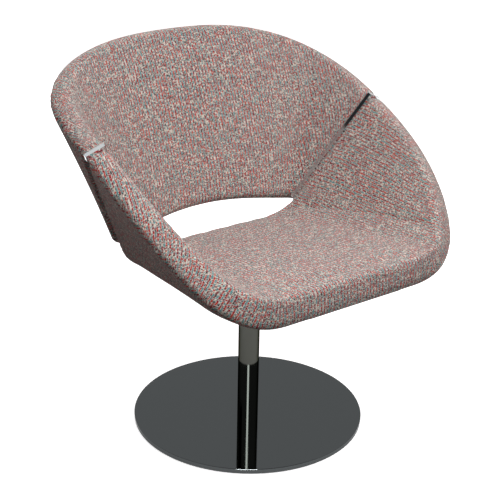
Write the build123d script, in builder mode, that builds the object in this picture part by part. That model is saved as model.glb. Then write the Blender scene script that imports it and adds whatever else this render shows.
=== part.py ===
from build123d import *
import os
from math import acos, atan2, cos, hypot, pi, radians, sin, sqrt, tan

# Swivel armchair: an upholstered bowl in two parts on a polished column and disc.
# Millimetres, +Z up, the front of the chair faces -Y, the origin is on the floor on the
# swivel axis.

# ---- base --------------------------------------------------------------------------
disc_diameter = 480
disc_thickness = 10
disc_edge_radius = 1.2
glide_inset = 7             # from the disc's edge to the plastic ring that it stands on
glide_width = 10
glide_height = 3
glide_groove_depth = 1.5

tube_diameter = 44
tube_wall = 2.5
tube_height = 312

plug_height = 40            # tapped boss in the foot of the column
base_screw_count = 4
base_screw_circle = 25
base_screw_diameter = 8
base_screw_head = 16
base_screw_length = 32

# ---- swivel bearing ----------------------------------------------------------------
spindle_diameter = 25
spindle_length = 132
hub_diameter = 70
bush_length = 40
bush_flange = 3
thrust_thickness = 2
clip_thickness = 1.2
clip_reach = 2.2
clip_groove_depth = 0.8
clip_opening = 60           # degrees that the spring clip leaves open

running_gap = 0.05          # radial gap of a shaft in its bush
fixed_gap = 0.05            # radial gap of a screw or plug in its hole
face_gap = 0.3              # between faces that may move or bulge

# ---- upholstered bowl: each rise is a height above the top of the column ------------
half_width = 359            # outer edge of the rim at the seams
seat_swell = 2.5            # the arms stand this much wider in the middle of the seat
seam_y = 27                 # the rim where seat and back meet
seam_rise = 305.5
seam_tilt = 22              # the seams lean back from vertical, down to the opening
seam_slope = 0.48           # rise of the rim there, towards the back
seam_thickness = 44         # of the upholstery at the seams
rear_thickness = 52         # of the seat at its rear edge

widest_y = 16               # where the rim of the seat is widest
lip_y = -322                # lower edge of the front lip
lip_rise = 49
lip_slope = 1.15            # rise of the rim just behind the lip
lip_thickness = 58
lip_sag = 0.5                 # the middle of the lip hangs this much below its ends
front_corner_x = 0.35       # exponents of the rounded plan of the front
front_corner_y = 0.91
front_tilt = -5             # lean of the foremost cross-section
rear_bottom_rise = 10       # underside of the seat at its rear edge
flat_rear = 137             # half width of the flat middle of the seat
flat_front = 180
bend_rear = 105             # outer radius between the flat and the arms
bend_front = 170

back_y = 326                # top of the back, outer edge
back_rise = 435
back_slope = 0.73
back_thickness = 50
back_widest_y = 50
back_corner_x = 0.80        # exponents of the rounded plan of the back's rim
back_corner_y = 0.68
low_side_rise = 70.5        # lower edge of the back at its ends
low_back_y = 199
low_back_rise = 88.5
low_corner_y = 1.19         # exponents of the lower edge in plan and as an arch
low_arch = 3.46
low_pace = 0.6              # how soon the lower edge turns inwards

outer_radius = 9            # edge of the upholstery on the outside
inner_radius = 15           # softer edge towards the sitter
end_radius = 7              # edges along the seams
lip_radius = 13             # edges of the front lip
rim_bulge = 1.5             # crown of the rim
back_crown = 5              # crown of the back's inner face

# ---- layers and joints of the bowl -------------------------------------------------
cover_thickness = 2.5
shell_thickness = 16
shell_margin = 14           # the shell stops short of the rim
shell_end_gap = 8           # and short of the seams
shell_radius = 3

plate_thickness = 8         # metal plates in the seams
plate_gap = 0.3
plate_recess = 12           # below the outer skin
plate_recess_in = 0.5       # below the inner skin
plate_rim = 0.5             # below the crown of the rim
plate_nose = 2              # below the outer skin, where the plate crosses the rim
plate_nose_length = 14
plate_foot = 4              # short of the lower end of the seam
plate_rounding = 1

stud_diameter = 8
stud_length = 72
stud_first = 52             # down the seam from the rim
stud_pitch = 78
stud_count = 3
stud_clearance = 0.3
barrel_diameter = 12
barrel_length = 12
barrel_inset = 26           # from the middle of the seam

mount_width = 200
mount_depth = 220
mount_thickness = 5
mount_corner = 24
mount_screw_x = 75
mount_screw_y = 85
mount_screw_diameter = 8
mount_screw_head = 14
mount_screw_head_height = 4.4
mount_gap = 0.5             # between the plate and the cover above it
mount_screw_length = 20
insert_diameter = 12
insert_length = 13
socket_radius = 2.9         # corners of the hexagon sockets
socket_depth = 2.5
tap_runout = 3              # a tapped hole is this much deeper than its screw

# ---- cross-sections: shares of the seat's length and turns round the back ----------
seat_shares = (0.09, 0.2, 0.33, 0.46, 0.58, 0.69, 0.79, 0.87, 0.91)
back_turns = (89.6, 88.4, 85.5, 80, 72, 62, 50, 37, 25, 12)
rounding_steps = (0, 30, 60, 90)
run_on = 2                  # a full cut of the seat this many radii behind a rounded end
least_wall = 34             # shortest straight stretch of an arm's cross-section
lip_flat = 1.2              # the lip is straight over this much of its plan

# ---- sizes of the base and heights up the column ------------------------------------
glide_radius = disc_diameter / 2 - glide_inset
disc_bottom = glide_height - glide_groove_depth
disc_top = disc_bottom + disc_thickness
tube_top = disc_top + tube_height
tube_bore = tube_diameter / 2 - tube_wall
hub_bottom = tube_top + bush_flange + thrust_thickness
spindle_bottom = hub_bottom - spindle_length
clip_bottom = spindle_bottom + 2 * clip_thickness
lower_bush_bottom = clip_bottom + clip_thickness + face_gap

# ---- heights and planes of the bowl ------------------------------------------------
seam_z, back_z = tube_top + seam_rise, tube_top + back_rise
lip_z, rear_bottom_z = tube_top + lip_rise, tube_top + rear_bottom_rise
low_side_z, low_back_z = tube_top + low_side_rise, tube_top + low_back_rise
tilt = radians(seam_tilt)
rear_bottom_y = seam_y + (seam_z - rear_bottom_z) * tan(tilt)
underside_slope = (rear_bottom_z - lip_z + lip_sag) / (rear_bottom_y - lip_y)
underside_z = lip_z - lip_sag - underside_slope * lip_y
underside = Plane(
    origin=(0, 0, underside_z),
    x_dir=(1, 0, 0),
    z_dir=(0, -underside_slope, 1),
)
seam = Plane(origin=(0, seam_y, seam_z), x_dir=(1, 0, 0), z_dir=(0, cos(tilt), sin(tilt)))
half_seam = plate_thickness / 2 + plate_gap


def blend(start, end, share):
    return start + (end - start) * share


def power(base, exponent):
    return max(base, 0) ** exponent


def rise(share, start, start_slope, end, end_slope, span):
    """Height along a smooth curve with a given slope at each end."""
    square, cube = share**2, share**3
    ends = (2 * cube - 3 * square + 1) * start + (3 * square - 2 * cube) * end
    slopes = (cube - 2 * square + share) * start_slope + (cube - square) * end_slope
    return ends + slopes * span


def rounded_end(radius, run=1):
    """Distance from the end and draw-in of the skin, over a quarter round and a run on."""
    if radius == 0:
        return [(0, 0)]
    steps = []
    for turn in rounding_steps:
        ahead = radius * (1 - cos(radians(turn)))
        steps.append((ahead, radius * (1 - sin(radians(turn)))))
    if run > 1:
        steps.append((radius * run, 0))
    return steps


# ---- cross-sections of the seat ----------------------------------------------------
class SeatSection:
    """A cut through the seat: a flat middle, two bends and two flared arms."""

    def __init__(self, rim_y, lean=None):
        share = (seam_y - rim_y) / (seam_y - lip_y)
        lean = radians(blend(seam_tilt, front_tilt, share) if lean is None else lean)
        rim_z = rise(1 - share, lip_z, lip_slope, seam_z, seam_slope, seam_y - lip_y)
        plan_y = max(rim_y, lip_y + lip_flat)
        forward = power((widest_y - plan_y) / (widest_y - lip_y), 1 / front_corner_y)
        widest = half_width + seat_swell * sin(pi * max(share, 0))
        rim_x = widest * power(sin(acos(forward)), front_corner_x)
        drop = rim_z - underside_z - underside_slope * rim_y
        drop /= 1 + underside_slope * tan(lean)
        height = drop / cos(lean)
        self.plane = Plane(
            origin=(0, rim_y + drop * tan(lean), rim_z - drop),
            x_dir=(1, 0, 0),
            z_dir=(0, -cos(lean), -sin(lean)),
        )
        self.thickness = blend(seam_thickness, lip_thickness, share)
        self.extra = blend(rear_thickness, lip_thickness, share) - self.thickness
        self.flat = min(blend(flat_rear, flat_front, share), rim_x - 2 * least_wall)
        reach = rim_x - self.flat
        most_bend = (reach**2 + height**2 - least_wall**2) / (2 * height)
        self.bend = min(blend(bend_rear, bend_front, share), most_bend)
        span = hypot(reach, height - self.bend)
        self.angle = atan2(reach, self.bend - height) - acos(self.bend / span)
        self.wall = sqrt(span**2 - self.bend**2)

    def on_wall(self, depth, along):
        """A point up the arm from the end of its bend, at a depth under the outer skin."""
        radius = self.bend - depth
        x = self.flat + radius * sin(self.angle) + along * cos(self.angle)
        return Vector(x, self.bend - radius * cos(self.angle) + along * sin(self.angle))

    def on_bend(self, depth, extra, share):
        """A point of the bend, where the flat middle is thicker than the arm by an extra."""
        straight = cos(self.angle)
        radius = self.bend - depth + extra * straight / (1 - straight)
        turn = self.angle * share
        lift = radius * (1 - cos(turn))
        return Vector(self.flat + radius * sin(turn), depth + extra + lift)

    def on_corner(self, depth, top, radius, side):
        """Middle of a rounded corner of the rim: side 1 is outside, -1 inside."""
        up = Vector(cos(self.angle), sin(self.angle))
        inward = Vector(-sin(self.angle), cos(self.angle))
        centre = self.on_wall(depth + side * radius, top - radius)
        return centre + (up - inward * side) * (radius / sqrt(2))

    def face(self, outer, inner, extra, margin, out_r, in_r, bulge):
        """The slab between two depths, its rim held back by a margin."""
        top = self.wall - margin
        out_corner = self.on_corner(outer, top, out_r, 1)
        in_corner = self.on_corner(inner, top, in_r, -1)
        crown = self.on_wall((outer + inner) / 2, top + bulge)
        with BuildSketch(self.plane) as section:
            with BuildLine():
                bend = ThreePointArc(*[self.on_bend(outer, 0, share) for share in (0, 0.5, 1)])
                arm = Line(bend @ 1, self.on_wall(outer, top - out_r))
                corner = ThreePointArc(arm @ 1, out_corner, self.on_wall(outer + out_r, top))
                rim = ThreePointArc(corner @ 1, crown, self.on_wall(inner - in_r, top))
                corner = ThreePointArc(rim @ 1, in_corner, self.on_wall(inner, top - in_r))
                arm = Line(corner @ 1, self.on_bend(inner, extra, 1))
                ThreePointArc(*[self.on_bend(inner, extra, share) for share in (1, 0.5, 0)])
                mirror(about=Plane.YZ)
                Line((-self.flat, outer), (self.flat, outer))
                Line((-self.flat, inner + extra), (self.flat, inner + extra))
            make_face()
        return section.sketch


def seat_layer(outer, depth, margin, radii, bulge, gap, rounding, front_rounding):
    """The seat between two depths, as a solid from the seam to the front lip.

    Without a depth it reaches as near to the inner skin as to the outer one.
    """
    cuts = []
    first = seam_y - (half_seam + gap) / cos(tilt)
    for ahead, inset in rounded_end(rounding, run_on):
        cuts.append((SeatSection(first - ahead, seam_tilt), inset))
    for share in seat_shares:
        cuts.append((SeatSection(blend(seam_y, lip_y, share)), 0))
    for ahead, inset in reversed(rounded_end(front_rounding, run_on)):
        cuts.append((SeatSection(lip_y + margin + ahead), inset))
    faces = []
    for section, inset in cuts:
        inner = outer + depth if depth else section.thickness - outer
        extra = 0 if depth else section.extra
        skins = (outer + inset, inner - inset, extra)
        faces.append(section.face(*skins, margin + inset, *radii, bulge))
    with BuildPart() as layer:
        loft(sections=faces)
    return layer.part


# ---- cross-sections of the back ----------------------------------------------------
wall_angle = SeatSection(seam_y, seam_tilt).angle
seam_drop = (seam_z - low_side_z) / cos(tilt)
seam_length = seam_drop / sin(wall_angle)
low_side_x = half_width - seam_length * cos(wall_angle)
low_side_y = seam_y + (seam_z - low_side_z) * tan(tilt)
low_side_y += (half_seam + 1.5 * end_radius) / cos(tilt)


def back_rim(turn):
    """Outer edge of the back's rim, turn 0 in the middle and 90 degrees at an arm."""
    x = half_width * power(abs(sin(radians(turn))), back_corner_x)
    y = blend(back_widest_y, back_y, power(cos(radians(turn)), back_corner_y))
    return Vector(x if turn > 0 else -x, y, back_rim_z(y))


def back_rim_z(y):
    span = back_y - seam_y
    return rise((y - seam_y) / span, seam_z, seam_slope, back_z, back_slope, span)


def back_foot(turn):
    """Outer corner of the back's lower edge."""
    ahead = power(cos(radians(turn)), low_pace)
    x = low_side_x * sqrt(1 - ahead**2)
    y = blend(low_side_y, low_back_y, power(ahead, low_corner_y))
    z = blend(low_side_z, low_back_z, power(ahead, low_arch))
    return Vector(x if turn > 0 else -x, y, z)


class BackSection:
    """A cut through the back along one straight line of its flared wall."""

    def __init__(self, rim, foot, path, ahead):
        up = (rim - foot).normalized()
        inward = path.cross(up).normalized()
        if inward.Z < 0:
            inward = inward * -1
        self.plane = Plane(origin=rim, x_dir=inward, z_dir=inward.cross(up))
        self.length = (rim - foot).length
        self.thickness = blend(seam_thickness, back_thickness, ahead)
        self.crown = back_crown * ahead

    def face(self, outer, inner, margin, out_r, in_r, bulge):
        """The slab between two depths, its rim and foot held back by a margin."""
        top, foot = -margin, margin - self.length
        middle = (outer + inner) / 2
        out_cut, in_cut = out_r * (1 - sqrt(0.5)), in_r * (1 - sqrt(0.5))
        belly = (inner + self.crown + 0.2, (top + foot) / 2)
        with BuildSketch(self.plane) as section:
            with BuildLine():
                skin = Line((outer, foot + out_r), (outer, top - out_r))
                corner = (outer + out_cut, top - out_cut)
                edge = ThreePointArc(skin @ 1, corner, (outer + out_r, top))
                edge = ThreePointArc(edge @ 1, (middle, top + bulge), (inner - in_r, top))
                corner = (inner - in_cut, top - in_cut)
                edge = ThreePointArc(edge @ 1, corner, (inner, top - in_r))
                edge = ThreePointArc(edge @ 1, belly, (inner, foot + in_r))
                corner = (inner - in_cut, foot + in_cut)
                edge = ThreePointArc(edge @ 1, corner, (inner - in_r, foot))
                edge = ThreePointArc(edge @ 1, (middle, foot - bulge), (outer + out_r, foot))
                corner = (outer + out_cut, foot + out_cut)
                ThreePointArc(edge @ 1, corner, skin @ 0)
            make_face()
        return section.sketch


def seam_end(side, ahead):
    """The cut through the back along a seam, some way behind its end."""
    y = seam_y + (half_seam + ahead) / cos(tilt)
    rim = Vector(side * half_width, y, back_rim_z(y))
    foot = Vector(side * low_side_x, y + (rim.Z - low_side_z) * tan(tilt), low_side_z)
    return BackSection(rim, foot, seam.z_dir, 0)


def back_layer(outer, depth, margin, radii, bulge, gap, rounding):
    """The back between two depths, as a solid from the left seam to the right."""
    ends = rounded_end(rounding)
    cuts = [(seam_end(-1, gap + ahead), inset) for ahead, inset in ends]
    for turn in [-turn for turn in back_turns] + [0] + list(reversed(back_turns)):
        rim, foot = back_rim(turn), back_foot(turn)
        path = back_rim(turn + 0.1) - back_rim(turn - 0.1)
        path += back_foot(turn + 0.1) - back_foot(turn - 0.1)
        cuts.append((BackSection(rim, foot, path, cos(radians(turn))), 0))
    cuts += [(seam_end(1, gap + ahead), inset) for ahead, inset in reversed(ends)]
    faces = []
    for section, inset in cuts:
        inner = outer + depth if depth else section.thickness - outer
        faces.append(section.face(outer + inset, inner - inset, margin + inset, *radii, bulge))
    with BuildPart() as layer:
        loft(sections=faces)
    return layer.part


# ---- places along the seams and under the seat -------------------------------------
wall_down = Vector(-cos(wall_angle), sin(wall_angle))
wall_in = Vector(-sin(wall_angle), -cos(wall_angle))
shell_middle = cover_thickness + shell_thickness / 2


def on_seam(side, along, depth):
    """A point of the seam plane: down the arm from its rim, and under the outer skin."""
    point = Vector(half_width, 0) + wall_down * along + wall_in * depth
    return Vector(side * point.X, point.Y)


def stud_points(side):
    return [on_seam(side, stud_first + stud_pitch * i, shell_middle) for i in range(stud_count)]


def barrel_planes(behind):
    """Axes of the barrel nuts, square to the arms, starting in the middle of the shell."""
    planes = []
    for side in (-1, 1):
        inward = seam.x_dir * (side * wall_in.X) + seam.y_dir * wall_in.Y
        for point in stud_points(side):
            middle = seam.from_local_coords(Vector(point.X, point.Y, behind))
            planes.append(Plane(origin=middle, x_dir=seam.z_dir, z_dir=inward))
    return planes


mount_top = underside.offset(-mount_gap)
mount_bottom = mount_top.offset(-mount_thickness)
mount_axis = Axis(mount_bottom.origin, mount_bottom.z_dir)
insert_bottom = underside.offset(cover_thickness)
mount_screws_at = [(x, y) for x in (-mount_screw_x, mount_screw_x)
                   for y in (-mount_screw_y, mount_screw_y)]


# ---- base --------------------------------------------------------------------------
upright = (Align.CENTER, Align.CENTER, Align.MIN)
hanging = (Align.CENTER, Align.CENTER, Align.MAX)

with BuildPart() as floor_ring:
    with BuildSketch():
        Circle(glide_radius)
        Circle(glide_radius - glide_width, mode=Mode.SUBTRACT)
    extrude(amount=glide_height)

base_hole = base_screw_diameter / 2 + fixed_gap
base_sink = base_screw_head / 2 + face_gap
with BuildPart() as base_disc:
    with BuildSketch(Plane.XY.offset(disc_bottom)):
        Circle(disc_diameter / 2)
    extrude(amount=disc_thickness)
    fillet(base_disc.edges(), disc_edge_radius)
    with BuildSketch(Plane.XY.offset(disc_bottom)):
        Circle(glide_radius + fixed_gap)
        Circle(glide_radius - glide_width - fixed_gap, mode=Mode.SUBTRACT)
    extrude(amount=glide_groove_depth, mode=Mode.SUBTRACT)
    with Locations(Plane.XY.offset(disc_bottom)):
        with PolarLocations(base_screw_circle / 2, base_screw_count):
            Cone(base_sink, base_hole, base_sink - base_hole, align=upright, mode=Mode.SUBTRACT)
            Cylinder(base_hole, disc_thickness, align=upright, mode=Mode.SUBTRACT)

with BuildPart() as base_screws:
    with Locations(Plane.XY.offset(disc_bottom + face_gap)):
        with PolarLocations(base_screw_circle / 2, base_screw_count):
            head, shank = base_screw_head / 2, base_screw_diameter / 2
            Cone(head, shank, head - shank, align=upright)
            Cylinder(shank, base_screw_length, align=upright)
    with BuildSketch(Plane.XY.offset(disc_bottom + face_gap)):
        with PolarLocations(base_screw_circle / 2, base_screw_count):
            RegularPolygon(socket_radius, 6)
    extrude(amount=socket_depth, mode=Mode.SUBTRACT)

with BuildPart() as column_tube:
    with BuildSketch(Plane.XY.offset(disc_top)):
        Circle(tube_diameter / 2)
        Circle(tube_bore, mode=Mode.SUBTRACT)
    extrude(amount=tube_height)

with BuildPart() as foot_plug:
    with BuildSketch(Plane.XY.offset(disc_top)):
        Circle(tube_bore - fixed_gap)
    extrude(amount=plug_height)
    with BuildSketch(Plane.XY.offset(disc_top)):
        with PolarLocations(base_screw_circle / 2, base_screw_count):
            Circle(base_hole)
    extrude(amount=base_screw_length - disc_thickness + tap_runout, mode=Mode.SUBTRACT)
    chamfer(foot_plug.faces().sort_by(Axis.Z)[-1].outer_wire().edges(), 1)

# ---- swivel bearing ----------------------------------------------------------------
bush_bore = spindle_diameter / 2 + running_gap
with BuildPart() as lower_bush:
    with BuildSketch(Plane.XY.offset(lower_bush_bottom)):
        Circle(tube_bore - fixed_gap)
        Circle(bush_bore, mode=Mode.SUBTRACT)
    extrude(amount=bush_length)

with BuildPart() as upper_bush:
    with BuildSketch(Plane.XY.offset(tube_top - bush_length)):
        Circle(tube_bore - fixed_gap)
    extrude(amount=bush_length)
    with BuildSketch(Plane.XY.offset(tube_top)):
        Circle(tube_diameter / 2)
    extrude(amount=bush_flange)
    with BuildSketch(Plane.XY.offset(tube_top - bush_length)):
        Circle(bush_bore)
    extrude(amount=bush_length + bush_flange, mode=Mode.SUBTRACT)

with BuildPart() as thrust_washer:
    with BuildSketch(Plane.XY.offset(tube_top + bush_flange)):
        Circle(tube_diameter / 2)
        Circle(bush_bore, mode=Mode.SUBTRACT)
    extrude(amount=thrust_thickness)

clip_groove = spindle_diameter / 2 - clip_groove_depth
with BuildPart() as swivel_spindle:
    with BuildSketch(Plane.XY.offset(spindle_bottom)):
        Circle(spindle_diameter / 2)
    extrude(amount=spindle_length)
    chamfer(swivel_spindle.faces().sort_by(Axis.Z)[0].edges(), 1)
    with BuildSketch(Plane.XY.offset(hub_bottom)):
        Circle(hub_diameter / 2)
    extrude(amount=2 * hub_diameter)
    split(bisect_by=mount_bottom, keep=Keep.BOTTOM)
    with BuildSketch(Plane.XY.offset(clip_bottom)):
        Circle(spindle_diameter / 2 + 1)
        Circle(clip_groove, mode=Mode.SUBTRACT)
    extrude(amount=clip_thickness, mode=Mode.SUBTRACT)

with BuildPart() as retaining_ring:
    with BuildSketch(Plane.XY.offset(clip_bottom)):
        Circle(spindle_diameter / 2 + clip_reach)
        Circle(clip_groove, mode=Mode.SUBTRACT)
        with BuildLine():
            reach = spindle_diameter
            side = reach * tan(radians(clip_opening / 2))
            Polyline((0, 0), (reach, side), (reach, -side), close=True)
        make_face(mode=Mode.SUBTRACT)
    extrude(amount=clip_thickness)

# ---- mount under the seat ----------------------------------------------------------
mount_hole = mount_screw_diameter / 2 + stud_clearance
with BuildPart() as mounting_plate:
    with BuildSketch(mount_bottom):
        RectangleRounded(mount_width, mount_depth, mount_corner)
    extrude(amount=mount_thickness)
    with BuildSketch(mount_bottom):
        with Locations(*mount_screws_at):
            Circle(mount_hole)
    extrude(amount=mount_thickness, mode=Mode.SUBTRACT)

with BuildPart() as mounting_screws:
    with Locations(mount_bottom):
        with Locations(*mount_screws_at):
            Cylinder(mount_screw_diameter / 2, mount_screw_length, align=upright)
            Cylinder(mount_screw_head / 2, mount_screw_head_height, align=hanging)
    heads = mounting_screws.faces().sort_by(mount_axis)[: len(mount_screws_at)]
    fillet(heads.edges(), mount_screw_head_height / 3)
    with BuildSketch(mount_bottom.offset(-mount_screw_head_height)):
        with Locations(*mount_screws_at):
            RegularPolygon(socket_radius, 6)
    extrude(amount=socket_depth, mode=Mode.SUBTRACT)

with BuildPart() as threaded_inserts:
    with BuildSketch(insert_bottom):
        with Locations(*mount_screws_at):
            Circle(insert_diameter / 2)
            Circle(mount_screw_diameter / 2 + fixed_gap, mode=Mode.SUBTRACT)
    extrude(amount=insert_length)

# ---- seams between seat and back ---------------------------------------------------
stud_hole = stud_diameter / 2 + stud_clearance


def side_plate(side):
    top = plate_rim - rim_bulge
    foot = seam_length - plate_foot
    skin, lining = plate_recess, seam_thickness - plate_recess_in
    nose = top + plate_nose_length
    below = nose + plate_recess - plate_nose
    corners = [(top, plate_nose), (nose, plate_nose), (below, skin),
               (foot, skin), (foot, lining), (top, lining)]
    with BuildPart() as plate:
        with BuildSketch(seam.offset(-plate_thickness / 2)):
            with BuildLine():
                Polyline(*[on_seam(side, *corner) for corner in corners], close=True)
            make_face()
            with Locations(*stud_points(side)):
                Circle(stud_hole, mode=Mode.SUBTRACT)
        extrude(amount=plate_thickness)
        corner_edges = plate.edges().filter_by(Axis(seam.origin, seam.z_dir))
        fillet(corner_edges.filter_by(GeomType.LINE), plate_rounding)
    return plate.part


def studs(side):
    with BuildPart() as rods:
        with BuildSketch(seam.offset(-stud_length / 2)):
            with Locations(*stud_points(side)):
                Circle(stud_diameter / 2)
        extrude(amount=stud_length)
    return rods.part


def barrel_nuts(behind):
    with BuildPart() as nuts:
        with Locations(*barrel_planes(behind)):
            Cylinder(barrel_diameter / 2, barrel_length)
        for side in (-1, 1):
            with BuildSketch(seam.offset(-stud_length)):
                with Locations(*stud_points(side)):
                    Circle(stud_diameter / 2 + fixed_gap)
            extrude(amount=2 * stud_length, mode=Mode.SUBTRACT)
    return nuts.part


with BuildPart() as side_plate_left:
    add(side_plate(-1))

with BuildPart() as side_plate_right:
    add(side_plate(1))

with BuildPart() as seam_studs_left:
    add(studs(-1))

with BuildPart() as seam_studs_right:
    add(studs(1))

with BuildPart() as seat_barrel_nuts:
    add(barrel_nuts(-barrel_inset))

with BuildPart() as back_barrel_nuts:
    add(barrel_nuts(barrel_inset))

# ---- layers of the bowl ------------------------------------------------------------
skin_radii = (outer_radius, inner_radius)
core_radii = (outer_radius - cover_thickness, inner_radius - cover_thickness)
shell_radii = (shell_radius, shell_radius)
end_core = end_radius - cover_thickness
lip_core = lip_radius - cover_thickness
into_cover = cover_thickness / 2
shell_start = cover_thickness - into_cover
shell_depth = shell_thickness + into_cover

seat_slab = seat_layer(0, None, 0, skin_radii, rim_bulge, 0, end_radius, lip_radius)
seat_core = seat_layer(cover_thickness, None, cover_thickness, core_radii, rim_bulge,
                       cover_thickness, end_core, lip_core)
seat_board = seat_layer(shell_start, shell_depth, shell_margin, shell_radii, 0.2,
                        shell_end_gap, 0, 0)
back_slab = back_layer(0, None, 0, skin_radii, rim_bulge, 0, end_radius)
back_core = back_layer(cover_thickness, None, cover_thickness, core_radii, rim_bulge,
                       cover_thickness, end_core)
back_board = back_layer(shell_start, shell_depth, shell_margin, shell_radii, 0.2,
                        shell_end_gap, 0)


def stud_holes(radius):
    """Rods that clear the studs, from seam to beyond their ends."""
    with BuildPart() as rods:
        for side in (-1, 1):
            with BuildSketch(seam.offset(-stud_length / 2 - face_gap)):
                with Locations(*stud_points(side)):
                    Circle(radius)
            extrude(amount=stud_length + 2 * face_gap)
    return rods.part


def barrel_holes(behind):
    """Pockets for the barrel nuts, open towards the sitter."""
    with BuildPart() as pockets:
        for place in barrel_planes(behind):
            with BuildSketch(place.offset(-barrel_length / 2)):
                Circle(barrel_diameter / 2 + fixed_gap)
            extrude(amount=shell_thickness)
    return pockets.part


def mount_holes(radius, bottom, height):
    with BuildPart() as rods:
        with BuildSketch(bottom):
            with Locations(*mount_screws_at):
                Circle(radius)
        extrude(amount=height)
    return rods.part


insert_radius = insert_diameter / 2 + fixed_gap
rods = stud_holes(stud_hole)
insert_pocket = mount_holes(insert_radius, insert_bottom.offset(-face_gap),
                            insert_length + 2 * face_gap)
screw_pocket = mount_holes(mount_hole, mount_top, mount_gap + cover_thickness)

with BuildPart() as seat_shell:
    add(seat_board)
    add(seat_core, mode=Mode.INTERSECT)
    add(rods, mode=Mode.SUBTRACT)
    add(barrel_holes(-barrel_inset), mode=Mode.SUBTRACT)
    add(insert_pocket, mode=Mode.SUBTRACT)

with BuildPart() as seat_foam:
    add(seat_core)
    add(seat_board, mode=Mode.SUBTRACT)
    add(rods, mode=Mode.SUBTRACT)

with BuildPart() as seat_cover:
    add(seat_slab)
    add(seat_core, mode=Mode.SUBTRACT)
    add(rods, mode=Mode.SUBTRACT)
    add(screw_pocket, mode=Mode.SUBTRACT)
    add(insert_pocket, mode=Mode.SUBTRACT)

with BuildPart() as back_shell:
    add(back_board)
    add(back_core, mode=Mode.INTERSECT)
    add(rods, mode=Mode.SUBTRACT)
    add(barrel_holes(barrel_inset), mode=Mode.SUBTRACT)

with BuildPart() as back_foam:
    add(back_core)
    add(back_board, mode=Mode.SUBTRACT)
    add(rods, mode=Mode.SUBTRACT)

with BuildPart() as back_cover:
    add(back_slab)
    add(back_core, mode=Mode.SUBTRACT)
    add(rods, mode=Mode.SUBTRACT)

# ---- one file per piece ------------------------------------------------------------
pieces = {
    "floor_ring": floor_ring,
    "base_disc": base_disc,
    "base_screws": base_screws,
    "column_tube": column_tube,
    "foot_plug": foot_plug,
    "lower_bush": lower_bush,
    "upper_bush": upper_bush,
    "thrust_washer": thrust_washer,
    "swivel_spindle": swivel_spindle,
    "retaining_ring": retaining_ring,
    "mounting_plate": mounting_plate,
    "mounting_screws": mounting_screws,
    "threaded_inserts": threaded_inserts,
    "side_plate_left": side_plate_left,
    "side_plate_right": side_plate_right,
    "seam_studs_left": seam_studs_left,
    "seam_studs_right": seam_studs_right,
    "seat_barrel_nuts": seat_barrel_nuts,
    "back_barrel_nuts": back_barrel_nuts,
    "seat_shell": seat_shell,
    "seat_foam": seat_foam,
    "seat_cover": seat_cover,
    "back_shell": back_shell,
    "back_foam": back_foam,
    "back_cover": back_cover,
}
os.makedirs("parts", exist_ok=True)
for label, piece in pieces.items():
    piece.part.label = label
    export_step(piece.part, f"parts/{label}.step")
    print(label, len(piece.part.solids()), piece.part.is_valid, round(piece.part.volume))
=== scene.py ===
import math

import bmesh
import bpy
import numpy as np
from mathutils import Matrix, Vector


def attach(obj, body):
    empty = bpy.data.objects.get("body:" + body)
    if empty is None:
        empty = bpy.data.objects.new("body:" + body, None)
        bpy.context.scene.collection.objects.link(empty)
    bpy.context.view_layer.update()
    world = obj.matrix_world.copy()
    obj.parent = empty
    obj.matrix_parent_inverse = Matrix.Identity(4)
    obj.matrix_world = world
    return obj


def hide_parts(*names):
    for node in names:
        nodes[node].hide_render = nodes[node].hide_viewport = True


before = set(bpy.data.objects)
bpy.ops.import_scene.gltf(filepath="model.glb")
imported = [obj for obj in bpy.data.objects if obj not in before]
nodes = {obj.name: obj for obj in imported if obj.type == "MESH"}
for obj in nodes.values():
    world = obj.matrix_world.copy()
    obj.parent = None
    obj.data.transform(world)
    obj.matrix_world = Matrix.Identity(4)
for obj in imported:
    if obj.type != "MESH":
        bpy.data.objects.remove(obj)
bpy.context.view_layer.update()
mm = 0.001
noiseReach = 0.25  # a noise texture seldom strays further than this from its middle


# materials

def hexColor(code):  # sRGB hex to the linear colour that shaders use
    channels = [int(code[i:i + 2], 16) / 255 for i in (0, 2, 4)]
    linear = [c / 12.92 if c <= 0.04045 else ((c + 0.055) / 1.055) ** 2.4 for c in channels]
    return (*linear, 1)


def newMaterial(name):
    material = bpy.data.materials.new(name)
    material.use_nodes = True
    shader = material.node_tree.nodes["Principled BSDF"]
    return material, material.node_tree, shader


def addNode(tree, kind, links=None, **settings):  # links: input name or number -> socket or value
    node = tree.nodes.new(kind)
    for key, value in settings.items():
        setattr(node, key, value)
    for key, value in (links or {}).items():
        if isinstance(value, bpy.types.NodeSocket):
            tree.links.new(value, node.inputs[key])
        else:
            node.inputs[key].default_value = value
    return node


def setRamp(node, stops, interpolation="LINEAR"):  # stops: (position, hex colour)
    ramp = node.color_ramp
    ramp.interpolation = interpolation
    while len(ramp.elements) > 1:
        ramp.elements.remove(ramp.elements[-1])
    for number, (position, code) in enumerate(stops):
        stop = ramp.elements[0] if number == 0 else ramp.elements.new(position)
        stop.position = position
        stop.color = hexColor(code)


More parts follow.
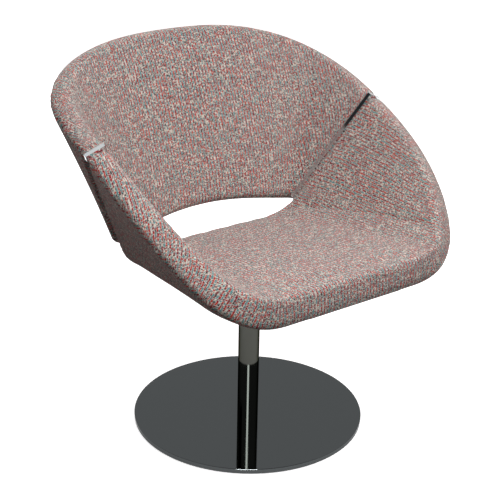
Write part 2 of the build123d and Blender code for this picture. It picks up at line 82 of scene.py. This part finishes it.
tweed = {
    "column": 3.9,  # mm between columns of floats, red and grey by turns
    "float": 3.2,  # mm that a float runs on along its column
    "shift": 31.7,  # floats from one column's pattern to the next one's
    "core": (0.20, 0.42),  # where a float fades into the ground, in columns from its middle
    "ends": (0.36, 0.52),  # and towards its ends, in floats
    "wobble": 1.1,  # mm that the hand-spun yarn wanders
    "wave": 11,  # mm from one bend of it to the next
    "grit": 1.9,  # mm, loops of the bouclé ground
    "gritHeight": 1.2,  # of a float's height
    "heights": (0.4, 1.3),  # between these the cloth gets lighter: painted shade, darker on the low loops and between the floats
    "paintedShade": (0.8, 1.05),  # from this to this, the painted shade's darkest and lightest
    "ground": [(0.37, "4C4442"), (0.48, "B1A199"), (0.59, "F2ECE2")],
    "red": [(0.0, "8E0020"), (0.34, "CC2408"), (0.66, "D6CCBE"), (0.80, "980A2C"), (0.93, "2E141C")],
    "grey": [(0.0, "509C9E"), (0.38, "E2DCD2"), (0.60, "6E9090"), (0.84, "BC3430"), (0.92, "3A3238")],
    "bump": 0.5,
    "relief": 0.8,  # mm
}


def tweedMaterial():
    # wool bouclé tweed, woven: matt and grainy, with rows of short coloured floats
    material, tree, shader = newMaterial("woolTweedWoven")
    cloth = addNode(tree, "ShaderNodeUVMap", uv_map="weave").outputs["UV"]  # metres on the unrolled cloth
    yarnNoise = addNode(tree, "ShaderNodeTexNoise", {
        "Vector": cloth, "Scale": 1 / (tweed["wave"] * mm), "Detail": 2})
    centred = addNode(tree, "ShaderNodeVectorMath", {
        0: yarnNoise.outputs["Color"], 1: (0.5, 0.5, 0.5)}, operation="SUBTRACT")
    wander = addNode(tree, "ShaderNodeVectorMath", {
        0: centred.outputs[0], 1: (tweed["wobble"] * mm / noiseReach,) * 3}, operation="MULTIPLY")
    moved = addNode(tree, "ShaderNodeVectorMath", {0: cloth, 1: wander.outputs[0]}, operation="ADD")
    place = addNode(tree, "ShaderNodeSeparateXYZ", {0: moved.outputs[0]})

    # each column has floats of random length, cut where the cells of a 1D pattern meet
    across = addNode(tree, "ShaderNodeMath", {
        0: place.outputs[0], 1: tweed["column"] * mm}, operation="DIVIDE").outputs[0]
    column = addNode(tree, "ShaderNodeMath", {0: across}, operation="ROUND").outputs[0]
    offset = addNode(tree, "ShaderNodeMath", {0: across, 1: column}, operation="SUBTRACT")
    aside = addNode(tree, "ShaderNodeMath", {0: offset.outputs[0]}, operation="ABSOLUTE").outputs[0]
    run = addNode(tree, "ShaderNodeMath", {
        0: place.outputs[1], 1: tweed["float"] * mm}, operation="DIVIDE")
    along = addNode(tree, "ShaderNodeMath", {
        0: column, 1: tweed["shift"], 2: run.outputs[0]}, operation="MULTIPLY_ADD").outputs[0]
    floats = addNode(tree, "ShaderNodeTexVoronoi", {
        "W": along, "Scale": 1, "Randomness": 1}, voronoi_dimensions="1D")

    # red and grey columns by turns, each with its own mix of yarns
    everySecond = addNode(tree, "ShaderNodeMath", {0: column, 1: 2}, operation="FLOORED_MODULO")
    pick = addNode(tree, "ShaderNodeSeparateColor", {0: floats.outputs["Color"]})
    yarns = []
    for kind in ("red", "grey"):
        ramp = addNode(tree, "ShaderNodeValToRGB", {0: pick.outputs[0]})
        setRamp(ramp, tweed[kind], "CONSTANT")
        yarns.append(ramp.outputs["Color"])
    yarn = addNode(tree, "ShaderNodeMix", {
        0: everySecond.outputs[0], 6: yarns[0], 7: yarns[1]}, data_type="RGBA")

    # the floats lie on a ground of small loops
    grit = addNode(tree, "ShaderNodeTexNoise", {
        "Vector": cloth, "Scale": 1 / (tweed["grit"] * mm), "Detail": 2})
    ground = addNode(tree, "ShaderNodeValToRGB", {0: grit.outputs["Fac"]})
    setRamp(ground, tweed["ground"])
    fades = []
    for distance, limits in ((aside, tweed["core"]), (floats.outputs["Distance"], tweed["ends"])):
        fades.append(addNode(tree, "ShaderNodeMapRange", {
            "Value": distance, "From Min": limits[0], "From Max": limits[1], "To Min": 1, "To Max": 0},
            interpolation_type="SMOOTHSTEP").outputs[0])
    onTop = addNode(tree, "ShaderNodeMath", {0: fades[0], 1: fades[1]}, operation="MULTIPLY").outputs[0]
    mixed = addNode(tree, "ShaderNodeMix", {
        0: onTop, 6: ground.outputs["Color"], 7: yarn.outputs[2]}, data_type="RGBA")

    height = addNode(tree, "ShaderNodeMath", {
        0: grit.outputs["Fac"], 1: tweed["gritHeight"], 2: onTop}, operation="MULTIPLY_ADD").outputs[0]
    # painted shade: the colour is scaled darker where the cloth lies low, in the ground's loops and
    # between the floats
    (low, high), (dark, light) = tweed["heights"], tweed["paintedShade"]
    shade = addNode(tree, "ShaderNodeMapRange", {
        "Value": height, "From Min": low, "From Max": high, "To Min": dark, "To Max": light})
    color = addNode(tree, "ShaderNodeVectorMath", {
        0: mixed.outputs[2], "Scale": shade.outputs[0]}, operation="SCALE")
    bump = addNode(tree, "ShaderNodeBump", {
        "Height": height, "Strength": tweed["bump"], "Distance": tweed["relief"] * mm})
    tree.links.new(color.outputs[0], shader.inputs["Base Color"])
    tree.links.new(bump.outputs[0], shader.inputs["Normal"])
    shader.inputs["Roughness"].default_value = 0.95
    shader.inputs["Specular IOR Level"].default_value = 0.15
    shader.inputs["Sheen Weight"].default_value = 0.15
    shader.inputs["Sheen Roughness"].default_value = 0.6
    return material


def metalMaterial(name, code, roughness, grain, spread, edge="FFFFFF"):
    # grain in mm, spread: how much the polish varies, edge: tint at a low angle
    material, tree, shader = newMaterial(name)
    place = addNode(tree, "ShaderNodeTexCoord")
    noise = addNode(tree, "ShaderNodeTexNoise", {
        "Vector": place.outputs["Object"], "Scale": 1 / (grain * mm), "Detail": 3})
    polish = addNode(tree, "ShaderNodeMapRange", {
        "Value": noise.outputs["Fac"], "To Min": roughness - spread, "To Max": roughness + spread})
    tree.links.new(polish.outputs[0], shader.inputs["Roughness"])
    shader.inputs["Base Color"].default_value = hexColor(code)
    shader.inputs["Specular Tint"].default_value = hexColor(edge)
    shader.inputs["Metallic"].default_value = 1
    return material


orangePeel = {"bump": 0.2, "relief": 0.1}  # strength and mm


def plasticMaterial(name, code, roughness, grain):
    # grain in mm: the faint orange peel of a moulded or powder coated surface
    material, tree, shader = newMaterial(name)
    place = addNode(tree, "ShaderNodeTexCoord")
    noise = addNode(tree, "ShaderNodeTexNoise", {
        "Vector": place.outputs["Object"], "Scale": 1 / (grain * mm), "Detail": 2})
    bump = addNode(tree, "ShaderNodeBump", {
        "Height": noise.outputs["Fac"], "Strength": orangePeel["bump"],
        "Distance": orangePeel["relief"] * mm})
    tree.links.new(bump.outputs[0], shader.inputs["Normal"])
    shader.inputs["Base Color"].default_value = hexColor(code)
    shader.inputs["Roughness"].default_value = roughness
    return material


plywood = {
    "figure": (4, 60, 4),  # mm that a streak is wide, long and deep
    "tones": [(0.35, "B98F62"), (0.6, "D2AC7C")],
}


def plywoodMaterial():
    # beech plywood, rotary cut and sanded: pale, with long faint figure
    material, tree, shader = newMaterial("beechPlywoodSanded")
    place = addNode(tree, "ShaderNodeTexCoord")
    grain = addNode(tree, "ShaderNodeMapping", {
        "Vector": place.outputs["Object"], "Scale": [1 / (size * mm) for size in plywood["figure"]]})
    figure = addNode(tree, "ShaderNodeTexNoise", {"Vector": grain.outputs[0], "Scale": 1, "Detail": 4})
    tone = addNode(tree, "ShaderNodeValToRGB", {0: figure.outputs["Fac"]})
    setRamp(tone, plywood["tones"])
    tree.links.new(tone.outputs["Color"], shader.inputs["Base Color"])
    shader.inputs["Roughness"].default_value = 0.6
    return material


tweedCloth = tweedMaterial()
# disc and column: steel, mirror polished under black nickel, so the room shows dark in it
discNickel = metalMaterial("steelBlackNickelPolished", "494C4D", 0.045, 40, 0.015, "D2D3D3")
tubeNickel = metalMaterial("steelTubeBlackNickelPolished", "444541", 0.05, 30, 0.015, "888884")
# plates in the seams: stainless steel, mirror polished, bright
stainless = metalMaterial("stainlessSteelPolished", "C9CCCE", 0.07, 25, 0.02)
zinc = metalMaterial("steelZincPlated", "A7A9A6", 0.32, 3, 0.06)  # screws: plated, slightly grey
turnedSteel = metalMaterial("steelTurned", "8B8C8C", 0.3, 2, 0.08)  # spindle and clip, oiled
bronze = metalMaterial("bronzeSintered", "9A7444", 0.5, 1, 0.1)  # bushes: porous, oil filled
blackPaint = plasticMaterial("steelPowderCoated", "161616", 0.45, 1.2)  # mounting plate, satin
glidePlastic = plasticMaterial("polyethyleneMoulded", "1B1B1C", 0.5, 0.8)  # floor ring and washer
beechPly = plywoodMaterial()

finishes = {
    discNickel: ["base_disc"],
    tubeNickel: ["column_tube"],
    stainless: ["side_plate_left", "side_plate_right"],
    zinc: ["base_screws", "mounting_screws", "threaded_inserts", "seam_studs_left",
           "seam_studs_right", "seat_barrel_nuts", "back_barrel_nuts"],
    turnedSteel: ["foot_plug", "swivel_spindle", "retaining_ring"],
    bronze: ["lower_bush", "upper_bush"],
    blackPaint: ["mounting_plate"],
    glidePlastic: ["floor_ring", "thrust_washer"],
    beechPly: ["seat_shell", "back_shell"],
}
for material, names in finishes.items():
    for name in names:
        nodes[name].data.materials.clear()
        nodes[name].data.materials.append(material)
print("materials ready")


# upholstery: the tools that both cushions share

padding = {
    "weld": 0.01,  # mm, closes the seams between CAD nodes
    "voxel": 6,  # mm
    "smoothing": 3,  # passes that take the voxels' steps out
    "fullness": 2,  # mm that the ends stand out at the plates
    "fullSides": (0.7, 0.5),  # share of it on the rim, and how much more inside and less outside
    "end": 13,  # mm from the seam's middle, the reach of the end's roundings
    "pressure": 4,
    "frames": 14,
    "stretch": 40,  # stiffness of the cover
    "bending": 2,
    "swelling": 4,  # mm, the most that the cover may swell
    "heldEnd": (3.6, 15.6),  # mm from the seam's middle: still up to the first, free from the second
    "heldRim": (0.4, 0.9),  # facing: still up to the first, free from the second
}

seam = {"y": 27, "z": 629, "tilt": 22}  # mm and degrees, the plane in the middle of the plates
seamPoint = np.array((0, seam["y"], seam["z"])) * mm
seamNormal = np.array((0, math.cos(math.radians(seam["tilt"])), math.sin(math.radians(seam["tilt"]))))


def copyOfNodes(name, nodeNames):  # one mesh out of several CAD nodes, their seams merged
    joined = bmesh.new()
    for nodeName in nodeNames:
        joined.from_mesh(nodes[nodeName].data)
    bmesh.ops.remove_doubles(joined, verts=joined.verts, dist=padding["weld"] * mm)
    mesh = bpy.data.meshes.new(name)
    joined.to_mesh(mesh)
    joined.free()
    piece = bpy.data.objects.new(name, mesh)
    bpy.context.scene.collection.objects.link(piece)
    return piece


def applyModifiers(piece):
    bpy.context.view_layer.update()
    evaluated = piece.evaluated_get(bpy.context.evaluated_depsgraph_get())
    mesh = bpy.data.meshes.new_from_object(evaluated)
    piece.modifiers.clear()
    old = piece.data
    piece.data = mesh
    bpy.data.meshes.remove(old)
    mesh.name = piece.name


def vectorsOf(items, key):  # such as the "co" of all vertices or the "center" of all polygons
    flat = np.empty(len(items) * 3)
    items.foreach_get(key, flat)
    return flat.reshape(-1, 3)


def setPositions(piece, places):
    piece.data.vertices.foreach_set("co", places.ravel())
    piece.data.update()


def between(values, start, end):  # 0 at start and 1 at end
    return np.clip((values - start) / (end - start), 0, 1)


def fromSeam(places):  # metres behind the middle of the seam, negative in front of it
    return (places - seamPoint) @ seamNormal


def facingOf(places, normals, unrolled):  # 1 towards the sitter, -1 outwards, 0 on the rim
    return (unrolled(places + normals * mm)[:, 2] - unrolled(places)[:, 2]) / mm


def hugCad(piece):  # turns it into an even mesh that lies on the CAD form
    cad = piece.copy()
    cad.data = piece.data.copy()
    bpy.context.scene.collection.objects.link(cad)
    remesh = piece.modifiers.new("remesh", "REMESH")
    remesh.mode = "VOXEL"
    remesh.voxel_size = padding["voxel"] * mm
    applyModifiers(piece)
    bm = bmesh.new()
    bm.from_mesh(piece.data)
    for _ in range(padding["smoothing"]):
        bmesh.ops.smooth_vert(bm, verts=bm.verts, factor=0.5, use_axis_x=True,
                              use_axis_y=True, use_axis_z=True)
    bm.to_mesh(piece.data)
    bm.free()
    hug = piece.modifiers.new("hug", "SHRINKWRAP")
    hug.target = cad
    even = piece.modifiers.new("even", "SMOOTH")
    even.factor = 0.5
    even.iterations = 1
    applyModifiers(piece)
    bpy.data.meshes.remove(cad.data)


def fillEnds(piece, unrolled, side):  # fuller against the plates than a plain rounding
    start = vectorsOf(piece.data.vertices, "co")
    normals = vectorsOf(piece.data.vertices, "normal")
    turned = normals @ seamNormal * side  # 0 along the cushion, 1 against the plate
    corner = np.clip(2 * turned * np.sqrt(np.clip(1 - turned**2, 0, 1)), 0, 1) ** 2
    rim, more = padding["fullSides"]
    corner *= rim + more * facingOf(start, normals, unrolled)
    corner *= np.abs(fromSeam(start)) < padding["end"] * mm
    setPositions(piece, start + normals * corner[:, None] * padding["fullness"] * mm)


def swellCover(piece, unrolled, side):  # the padding's pressure rounds the inside, rim and ends stay
    start = vectorsOf(piece.data.vertices, "co")
    normals = vectorsOf(piece.data.vertices, "normal")
    still, free = (distance * mm for distance in padding["heldEnd"])
    atEnd = between(-side * fromSeam(start), free, still)
    offRim = between(facingOf(start, normals, unrolled), *padding["heldRim"])
    stay = np.maximum(atEnd, 1 - offRim)
    held = piece.vertex_groups.new(name="held")
    for number in np.flatnonzero(stay > 0):
        held.add([int(number)], float(stay[number]), "REPLACE")
    cloth = piece.modifiers.new("padding", "CLOTH")
    cloth.settings.use_pressure = True
    cloth.settings.uniform_pressure_force = padding["pressure"]
    cloth.settings.tension_stiffness = padding["stretch"]
    cloth.settings.compression_stiffness = padding["stretch"]
    cloth.settings.bending_stiffness = padding["bending"]
    cloth.settings.effector_weights.gravity = 0
    cloth.settings.vertex_group_mass = "held"
    cloth.collision_settings.use_collision = False
    cloth.point_cache.frame_start = 1
    cloth.point_cache.frame_end = padding["frames"]
    for number in range(1, padding["frames"] + 1):
        bpy.context.scene.frame_set(number)
    applyModifiers(piece)
    bpy.context.scene.frame_set(1)
    moved = vectorsOf(piece.data.vertices, "co") - start
    rise = np.einsum("ij,ij->i", moved, normals)  # the cover only swells outwards
    rise = np.clip(rise, 0, padding["swelling"] * mm * (1 - stay))
    setPositions(piece, start + normals * rise[:, None])
    print(piece.name, "swells", round(float(rise.max()) / mm, 1), "mm")


laying = {
    "wrap": (0.25, 0.75),  # shares of the way to the rim, between which the cloth turns to follow it
    "outside": -0.75,  # facing, from where the outer panel begins
    "end": 0.7,  # how squarely a face looks at the seam where the end's panel begins
}


def layCloth(piece, unrolled, pad):
    # the inside's cloth runs on over the rim, the outside is a panel of its own, and so is the end
    places = vectorsOf(piece.data.vertices, "co")
    flat = unrolled(places)
    turned = (unrolled(places + vectorsOf(piece.data.vertices, "normal") * mm) - flat) / mm

    # the rim is nearly a superellipse, and toRim looks straight out across it
    wide, long, middle = (value * mm for value in pad["rim"])
    shareX, shareY = flat[:, 0] / wide, (flat[:, 1] - middle) / long
    toRim = np.stack((shareX**3 / wide, shareY**3 / long), 1)
    toRim /= np.linalg.norm(toRim, axis=1, keepdims=True) + 1e-9  # the middle has no direction

    # the inside lies flat, the rim goes on by its depth, and the outer edge by its rounding too
    thickness, edge = pad["thickness"] * mm, pad["edge"] * mm
    beyond = 1 - np.clip(np.sum(turned[:, :2] * toRim, axis=1), 0, 1)  # past the outer edge
    outward = thickness - flat[:, 2] + 2 * edge * beyond * np.clip(1 - flat[:, 2] / thickness, 0, 1)
    outward *= between((shareX**4 + shareY**4) ** 0.25, *laying["wrap"])

    # where each vertex lies on the three panels: inside with rim, outside, end
    toSeam = (unrolled(places + seamNormal * mm) - flat) / mm
    panels = np.stack((flat[:, :2] + toRim * outward[:, None], flat[:, :2],
                       flat[:, :2] + toSeam[:, :2] * flat[:, 2:]))
    polygons = piece.data.polygons
    centres, normals = vectorsOf(polygons, "center"), vectorsOf(polygons, "normal")
    panel = np.where(facingOf(centres, normals, unrolled) < laying["outside"], 1, 0)
    atSeam = np.abs(fromSeam(centres)) < padding["end"] * mm
    panel[(np.abs(normals @ seamNormal) > laying["end"]) & atSeam] = 2
    sides, corners = np.empty(len(polygons), int), np.empty(len(piece.data.loops), int)
    polygons.foreach_get("loop_total", sides)
    piece.data.loops.foreach_get("vertex_index", corners)
    layer = piece.data.uv_layers.new(name="weave")
    layer.data.foreach_set("uv", panels[np.repeat(panel, sides), corners].ravel())


def upholster(name, shell, unrolled, pad, replaced):
    piece = copyOfNodes(name, [*replaced, shell])
    hugCad(piece)
    fillEnds(piece, unrolled, pad["side"])
    swellCover(piece, unrolled, pad["side"])
    smooth = piece.modifiers.new("smooth", "SUBSURF")
    smooth.levels = smooth.render_levels = 1
    applyModifiers(piece)
    for polygon in piece.data.polygons:
        polygon.use_smooth = True
    layCloth(piece, unrolled, pad)
    piece.data.materials.clear()
    piece.data.materials.append(tweedCloth)
    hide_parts(*replaced)
    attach(piece, "seat")
    print(name, "ready", len(piece.data.polygons))


# seat with both arms

seatPad = {
    "side": 1,  # of the cushion where the plates are: behind it
    "flat": 158,  # mm, half width of the flat middle
    "bend": 138,  # outer radius from there to the arms
    "wall": 63,  # degrees, the arms from horizontal
    "underside": (345.5, -4.7),  # height at the column, and slope in degrees
    "thickness": 52,
    "edge": 10,  # outer edge radius
    "rim": (430, 440, 120),  # half width, half length and middle of the unrolled cloth's outline
}


def seatUnrolled(places):  # across the arms, along the seat, and through it from the underside
    flat, bend, thickness = (seatPad[key] * mm for key in ("flat", "bend", "thickness"))
    x, y, z = places.T
    low, slope = seatPad["underside"]
    height = z - low * mm - y * math.tan(math.radians(slope))
    beyond, below = np.abs(x) - flat, bend - height
    turn = np.clip(np.arctan2(beyond, below), 0, math.radians(seatPad["wall"]))
    rise = beyond * np.cos(turn) - below * np.sin(turn)  # past the bend, up the arm
    depth = bend - beyond * np.sin(turn) - below * np.cos(turn)
    arm = flat + (bend - thickness / 2) * turn + rise
    across = np.where(beyond > 0, arm, np.abs(x)) * np.sign(x)
    return np.stack((across, y, np.where(beyond > 0, depth, height)), 1)


upholster("seat_cushion", "seat_shell", seatUnrolled, seatPad, ["seat_cover", "seat_foam"])


# back

backPad = {
    "side": -1,  # of the cushion where the plates are: in front of it
    "centre": -20,  # mm, the middle of the back's curve in plan
    "lean": 20,  # degrees
    "skin": (335, 640),  # its outer radius, and the height where it has that radius
    "thickness": 47,
    "edge": 10,
    "rim": (900, 380, 450),
}


def backUnrolled(places):  # round the sitter, up, and through it from the outside
    x, y, z = places.T
    reach = np.hypot(x, y - backPad["centre"] * mm)
    turn = np.arctan2(x, y - backPad["centre"] * mm)
    lean = math.radians(backPad["lean"])
    radius, level = (value * mm for value in backPad["skin"])
    up = (z - level) * math.cos(lean) + (reach - radius) * math.sin(lean) + level
    depth = (z - level) * math.sin(lean) - (reach - radius) * math.cos(lean)
    return np.stack((turn * reach, up, depth), 1)


upholster("back_cushion", "back_shell", backUnrolled, backPad, ["back_cover", "back_foam"])


# studio

studio = {
    "floor": "F2F2F2",
    "floorSize": 9,  # metres, half its width
    "floorGlow": 0.72,  # so that the pale paper shows white outside the shadow
    "floorBounce": "220D0A",  # its colour for the light that it throws back on the chair
    "sky": [(0.4, "1A0806"), (0.63, "4A302C"), (0.9, "D2CECE")],  # from below to above
}


def seenDirectly(tree):  # 1 for what the camera sees, also in a mirror or through glass
    rays = addNode(tree, "ShaderNodeLightPath")
    seen = addNode(tree, "ShaderNodeMath", {
        0: rays.outputs["Is Camera Ray"], 1: rays.outputs["Is Glossy Ray"]}, operation="MAXIMUM")
    seen = addNode(tree, "ShaderNodeMath", {
        0: seen.outputs[0], 1: rays.outputs["Is Transmission Ray"]}, operation="MAXIMUM")
    return seen.outputs[0]


def studioWorld():  # white to look at, but it lights the chair softly from above
    world = bpy.data.worlds.new("studio")
    bpy.context.scene.world = world
    world.use_nodes = True
    tree = world.node_tree
    background = tree.nodes["Background"]
    place = addNode(tree, "ShaderNodeTexCoord")
    split = addNode(tree, "ShaderNodeSeparateXYZ", {0: place.outputs["Generated"]})
    upward = addNode(tree, "ShaderNodeMapRange", {
        "Value": split.outputs[2], "From Min": -1, "From Max": 1})
    sky = addNode(tree, "ShaderNodeValToRGB", {0: upward.outputs[0]})
    setRamp(sky, studio["sky"])
    mix = addNode(tree, "ShaderNodeMix", {
        0: seenDirectly(tree), 6: sky.outputs["Color"], 7: (1, 1, 1, 1)}, data_type="RGBA")
    tree.links.new(mix.outputs[2], background.inputs["Color"])
    background.inputs["Strength"].default_value = 1


def flatSheet(name, size):  # half its width and half its depth, lying at the origin
    bm = bmesh.new()
    bmesh.ops.create_grid(bm, x_segments=1, y_segments=1, size=1)
    bmesh.ops.scale(bm, verts=bm.verts, vec=(*size, 1))
    mesh = bpy.data.meshes.new(name)
    bm.to_mesh(mesh)
    bm.free()
    sheet = bpy.data.objects.new(name, mesh)
    bpy.context.scene.collection.objects.link(sheet)
    return sheet


def studioFloor():
    floor = flatSheet("floor", (studio["floorSize"], studio["floorSize"]))
    # background paper, matt
    material, tree, shader = newMaterial("paperPale")
    seen = seenDirectly(tree)
    color = addNode(tree, "ShaderNodeMix", {
        0: seen, 6: hexColor(studio["floorBounce"]), 7: hexColor(studio["floor"])}, data_type="RGBA")
    tree.links.new(color.outputs[2], shader.inputs["Base Color"])
    shader.inputs["Roughness"].default_value = 1
    shader.inputs["Specular IOR Level"].default_value = 0
    glow = addNode(tree, "ShaderNodeMath", {0: seen, 1: studio["floorGlow"]}, operation="MULTIPLY")
    tree.links.new(glow.outputs[0], shader.inputs["Emission Strength"])
    shader.inputs["Emission Color"].default_value = (1, 1, 1, 1)
    floor.data.materials.append(material)


def aimedAt(place, target):  # stands at the place, its -Z towards the target
    away = Vector(place) - Vector(target)
    return Matrix.Translation(place) @ away.to_track_quat("Z", "Y").to_matrix().to_4x4()


lamps = {  # place, target and size in metres, then watts
    "keyLamp": ((0.1, -1.6, 2.6), (0, 0, 0.5), (1.6, 1.6), 46),
    "backLamp": ((1.6, 1.8, 2.0), (0, 0, 0.5), (1.4, 1.4), 20),
    "fillLamp": ((0.2, 2.8, 1.0), (0, 0, 0.5), (2.2, 1.2), 26),
    "stripLamp": ((-1.72, -2.23, 1.75), (0, 0, 0.1), (0.95, 1.1), 260),
}
mirroredLamp = "stripLamp"  # polished metal shows it, and it lights nothing else


def areaLamp(name, place, target, size, power):
    light = bpy.data.lights.new(name, "AREA")
    light.shape = "RECTANGLE"
    light.size, light.size_y = size
    light.energy = power
    lamp = bpy.data.objects.new(name, light)
    bpy.context.scene.collection.objects.link(lamp)
    lamp.matrix_world = aimedAt(place, target)
    lamp.visible_glossy = name == mirroredLamp
    lamp.visible_diffuse = name != mirroredLamp


card = {  # beside the chair, to show dark in the right plate
    "place": (-1.24, 0.81, 1.58),  # metres
    "target": (0.3, 0.04, 0.56),
    "size": (0.65, 0.65),  # half its width and half its height
    "color": "1C1D1F",
}


def darkCard():  # shows only in polished metal
    sheet = flatSheet("darkCard", card["size"])
    sheet.data.transform(aimedAt(card["place"], card["target"]))
    # card, dyed black and matt
    material, tree, shader = newMaterial("paperBlack")
    shader.inputs["Base Color"].default_value = hexColor(card["color"])
    shader.inputs["Roughness"].default_value = 0.9
    sheet.data.materials.append(material)
    for kind in ("camera", "diffuse", "shadow", "transmission", "volume_scatter"):
        setattr(sheet, "visible_" + kind, False)


camera = {
    "place": (-1370.01, -1777.49, 1296.94),  # mm
    "turn": -37.589,  # degrees about +Z from looking along +Y
    "down": 22.347,
    "roll": 1.11,
    "lens": 86.76,  # mm, which is 1205 pixels on the 500 pixel frame
    "sensor": 36,  # mm
}


def photoCamera():
    data = bpy.data.cameras.new("camera")
    data.sensor_width = camera["sensor"]
    data.lens = camera["lens"]
    view = bpy.data.objects.new("camera", data)
    bpy.context.scene.collection.objects.link(view)
    turn, down, roll = (math.radians(camera[key]) for key in ("turn", "down", "roll"))
    forward = Vector((-math.sin(turn) * math.cos(down), math.cos(turn) * math.cos(down), -math.sin(down)))
    right = Vector((math.cos(turn), math.sin(turn), 0))
    up = right.cross(forward)
    rolledRight = right * math.cos(roll) + up * math.sin(roll)
    rolledUp = up * math.cos(roll) - right * math.sin(roll)
    axes = Matrix((rolledRight, rolledUp, -forward)).transposed().to_4x4()
    view.matrix_world = Matrix.Translation(Vector(camera["place"]) * mm) @ axes
    bpy.context.scene.camera = view


studioWorld()
studioFloor()
for name, (place, target, size, power) in lamps.items():
    areaLamp(name, place, target, size, power)
darkCard()
photoCamera()
bpy.context.scene.view_settings.view_transform = "Standard"
print("studio ready")
